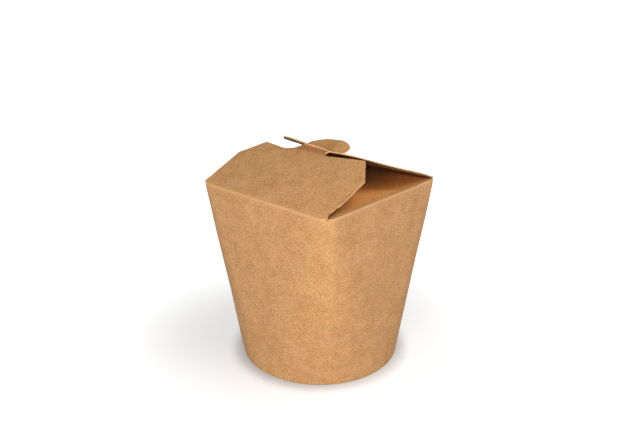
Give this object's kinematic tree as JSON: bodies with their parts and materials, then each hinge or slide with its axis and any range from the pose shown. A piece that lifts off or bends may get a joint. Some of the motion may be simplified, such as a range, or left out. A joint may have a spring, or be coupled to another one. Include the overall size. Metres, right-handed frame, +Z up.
{
  "type": "noodle takeaway box",
  "caption": "Shut round-based takeaway food box of folded kraft board with a square top and a hooked closing tab.",
  "frame": {"origin": "centre of the round base ring, on the surface that the box stands on", "axes": "+Z up; the front flap with the tab folds up from the -Y wall, the slit flap from the +Y wall, the inner flaps from the -X and +X walls"},
  "size_m": [0.09, 0.09, 0.123],
  "materials": {
    "kraft_board": "uncoated brown kraft board, matt, fine mottled fibre, pale cut edges"
  },
  "bodies": {
    "root": {"carton": "kraft_board"}
  },
  "joints": []
}
